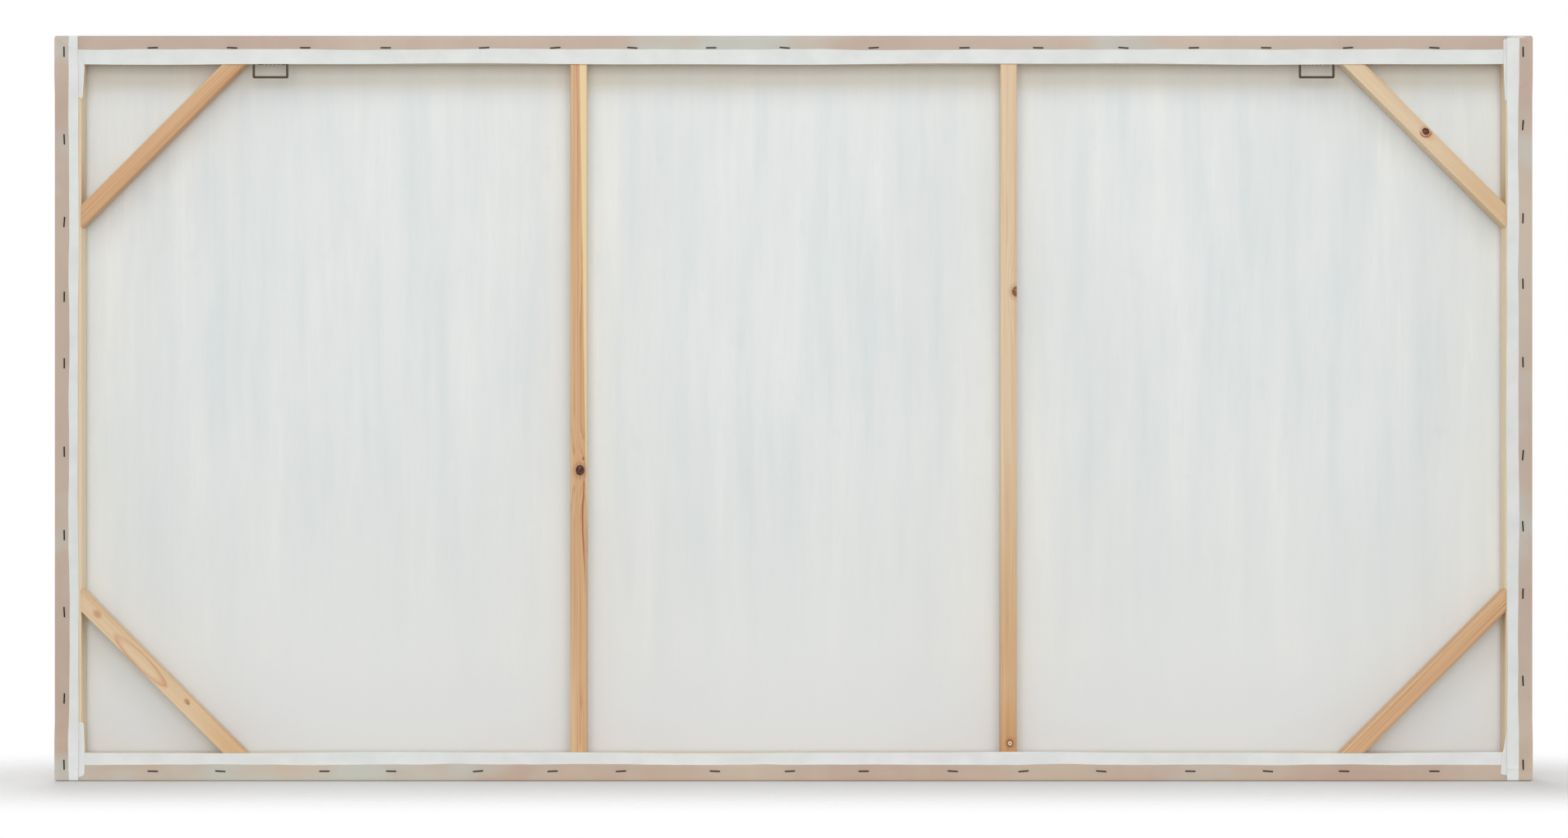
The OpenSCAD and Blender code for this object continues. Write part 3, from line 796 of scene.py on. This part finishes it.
def fold_ends(column, side, share):
    """Carries a side fold on to the very end of the bars and turns it down there."""
    bottom, top = list(column[0]), list(column[-1])
    reach = smooth(share, 0, 0.18)
    ends = []
    for point, way, lip in ((bottom, -1, 0), (top, 1, 0)):
        place, flat, past = point
        drop = place.y - back_y
        turned = []
        for angle in (30, 60, 90):
            turn = math.radians(angle)
            out = (round_r - 0.2 * MM) * math.sin(turn) * reach
            down = (drop + 0.4 * MM) * (1 - math.cos(turn)) * reach
            spot = Vector((place.x, place.y - down, place.z + way * out))
            turned.append((spot, (flat[0], flat[1] + way * out), past))
        ends.append(turned)
    return list(reversed(ends[0])) + column + ends[1]


def along_line(points, share):
    """The point this far along a line of points."""
    lengths = [(b - a).length for a, b in zip(points, points[1:])]
    left = share * sum(lengths)
    for a, b, length in zip(points, points[1:], lengths):
        if left <= length:
            return a + (b - a) * (left / length)
        left -= length
    return points[-1].copy()


def make_tail(sheet, side, end):
    """The end of the tucked cloth that shows beside a side fold."""
    edge = [Vector(p) * MM for p in corners[side, end]["tail"]]
    hidden = [Vector((tuck_start, edge[0].y)), Vector((tuck_start, edge[-1].y))]
    x_sign = 1 if side == "left" else -1
    z_sign = 1 if end == "top" else -1
    rows = []
    for share in steps(0, 1, 24):
        outer, inner = along_line(hidden, share), along_line(edge, share)
        row = []
        for part in steps(0, 1, 8):
            s, e = outer + (inner - outer) * part
            rise = 0.55 * MM * (1 - smooth(e, 38 * MM, 70 * MM)) + 0.15 * MM
            rise += 0.4 * MM * smooth(s, 30 * MM, 39 * MM) * smooth(e, 20 * MM, 60 * MM)
            x, z = x_sign * (half_w - s), mid_z + z_sign * (mid_z - e)
            flat = (x_sign * (half_w + wrap + s), z_sign * (mid_z + e))
            row.append((Vector((x, back_y + rise, z)), flat, 20 * MM))
        rows.append(row)
    sheet.grid(rows, towards_back)


def make_cloth():
    sheet = Sheet()
    make_face_and_edges(sheet)
    for side in ("top", "bottom"):
        make_long_flap(sheet, side)
    for side, end in corners:
        make_tail(sheet, side, end)
    for side in ("left", "right"):
        make_side_flap(sheet, side)
    bmesh.ops.remove_doubles(sheet.mesh, verts=sheet.mesh.verts, dist=0.005 * MM)
    shape = bpy.data.meshes.new("canvas_cloth")
    sheet.mesh.to_mesh(shape)
    cloth = bpy.data.objects.new("canvas_cloth", shape)
    bpy.context.collection.objects.link(cloth)
    for material in (cloth_front(), cloth_back(), cloth_cut()):
        shape.materials.append(material)
    empty_selection()
    cloth.select_set(True)
    bpy.context.view_layer.objects.active = cloth
    shell = cloth.modifiers.new("thickness", "SOLIDIFY")
    shell.thickness = shell_t
    shell.offset = -1
    shell.use_even_offset = True
    shell.material_offset = 1
    shell.material_offset_rim = 2
    bpy.ops.object.modifier_apply(modifier="thickness")
    bpy.ops.object.shade_smooth_by_angle(angle=math.radians(40))
    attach(cloth, "root")
    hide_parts("canvas")


# ---- Materials for the frame's own pieces ----

def wear(node, material):
    """Gives a node of the frame this material all over."""
    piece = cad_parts[node]
    for slot in piece.material_slots:
        slot.material = material


upright, rising, falling = (math.radians(angle) for angle in (-90, -45, -135))
tan = (tint(220, 184, 142), tint(188, 136, 92))
cream = (tint(226, 206, 174), tint(204, 168, 130))


def cross_stick(node, colours):
    """Pine laid along an upright brace, measured from its middle and out from its back."""
    low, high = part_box(node)
    return Stick(node + "_pine", ((low.x + high.x) / 2, high.y, (low.z + high.z) / 2), upright, *colours)


def corner_stick(node, colours):
    """The same for a corner brace, whose box has its middle half a brace nearer the canvas's middle."""
    low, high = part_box(node)
    side = math.copysign(1, low.x)
    end = math.copysign(1, low.z + high.z - top_z)
    half = brace_w / 2 * math.sqrt(0.5)
    middle = ((low.x + high.x) / 2 + side * half, high.y, (low.z + high.z) / 2 + end * half)
    return Stick(node + "_pine", middle, falling if side * end > 0 else rising, *colours)


def make_left_cross():
    stick = cross_stick("left_cross_brace", tan)
    stick.knot(-0.0763, 2 * MM, 5.2 * MM)
    stick.grain((-26 * MM, 13 * MM), 2.4 * MM)
    stick.sapwood(7.0 * MM, -0.015, tint(229, 203, 158))
    stick.resin(-0.0877, -0.235, 8.0 * MM, 3.4 * MM, 1.7 * MM)
    stick.soft_spot(-0.062, 6 * MM, 1.6 * MM, tint(130, 82, 48))
    stick.paint_knots(tint(150, 100, 84), tint(58, 24, 20))
    wear("left_cross_brace", stick.finish())


def make_right_cross():
    stick = cross_stick("right_cross_brace", cream)
    stick.knot(0.1437, 9 * MM, 5 * MM)
    stick.grain((-34 * MM, -18 * MM), 2.6 * MM, 0.5)
    stick.tone(-0.05, -0.3, tint(236, 212, 184), 0.8)
    stick.tone(-0.34, -0.42, tint(238, 206, 176), 0.7)
    stick.paint_knots(tint(196, 130, 92), tint(128, 72, 44))
    stick.knots = []
    stick.knot(-0.4126, 1.5 * MM, 3.8 * MM)
    stick.paint_knots(tint(150, 104, 70), tint(104, 70, 44), open_heart=True)
    wear("right_cross_brace", stick.finish())


def make_corner_braces():
    stick = corner_stick("top_left_corner_brace", tan)
    stick.grain((-8 * MM, -46 * MM), 2.9 * MM, 0.9)
    wear("top_left_corner_brace", stick.finish())
    stick = corner_stick("bottom_right_corner_brace", tan)
    stick.grain((-20 * MM, 34 * MM), 4.6 * MM, 0.9)
    wear("bottom_right_corner_brace", stick.finish())

    stick = corner_stick("top_right_corner_brace", cream)
    stick.knot(0.0095, 4.2 * MM, 4 * MM)
    stick.grain((-44 * MM, 6 * MM), 2.4 * MM, 0.15)
    stick.tone(-0.02, -0.09, tint(244, 228, 208), 0.6)
    stick.soft_spot(0.005, 3 * MM, 6 * MM, tint(206, 150, 110), 0.5)
    stick.crescent(0.0095, 4.2 * MM, 6.6 * MM, tint(142, 74, 54))
    stick.paint_knots(tint(132, 78, 50), tint(84, 40, 26))
    wear("top_right_corner_brace", stick.finish())

    stick = corner_stick("bottom_left_corner_brace", (tint(228, 204, 168), cream[1]))
    stick.grain((-44 * MM, -8 * MM), 3 * MM, 0.18)
    stick.tone(-0.06, -0.12, tint(243, 224, 202), 0.7)
    stick.oval(0.03, -1 * MM, 90 * MM, 17 * MM, tint(204, 152, 118))
    stick.soft_spot(0.108, 2 * MM, 4.5 * MM, tint(192, 144, 106))
    stick.soft_spot(-0.046, 4 * MM, 3 * MM, tint(176, 124, 86))
    stick.soft_spot(-0.049, 3 * MM, 1.2 * MM, tint(130, 84, 60))
    wear("bottom_left_corner_brace", stick.finish())


def make_bars():
    for name, turn in (("top", 0), ("bottom", 0), ("left", upright), ("right", upright)):
        node = name + "_bar"
        low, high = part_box(node)
        middle = ((low.x + high.x) / 2, high.y, (low.z + high.z) / 2)
        stick = Stick(node + "_pine", middle, turn, tint(234, 218, 190), tint(216, 190, 152))
        stick.grain((-30 * MM, 20 * MM), 5 * MM, 0.25)
        wear(node, stick.finish())


def make_wood():
    make_left_cross()
    make_right_cross()
    make_corner_braces()
    make_bars()


def make_metal():
    bronze = sheet_metal("bronzed_steel", tint(54, 41, 35), tint(74, 61, 46), 0.42, 0.7)
    staple_wire = sheet_metal("dark_staple_wire", tint(20, 15, 13), tint(32, 25, 21), 0.55, 0.0, 0.2)
    nail_steel = sheet_metal("nail_steel", tint(190, 190, 188), tint(160, 158, 154), 0.35)
    for name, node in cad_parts.items():
        if "hanger" in name:
            wear(name, bronze)
        elif "staples" in name:
            wear(name, staple_wire)
        elif "nails" in name or "brads" in name:
            wear(name, nail_steel)


make_camera()
make_lights()
make_floor()
make_cloth()
make_wood()
make_metal()
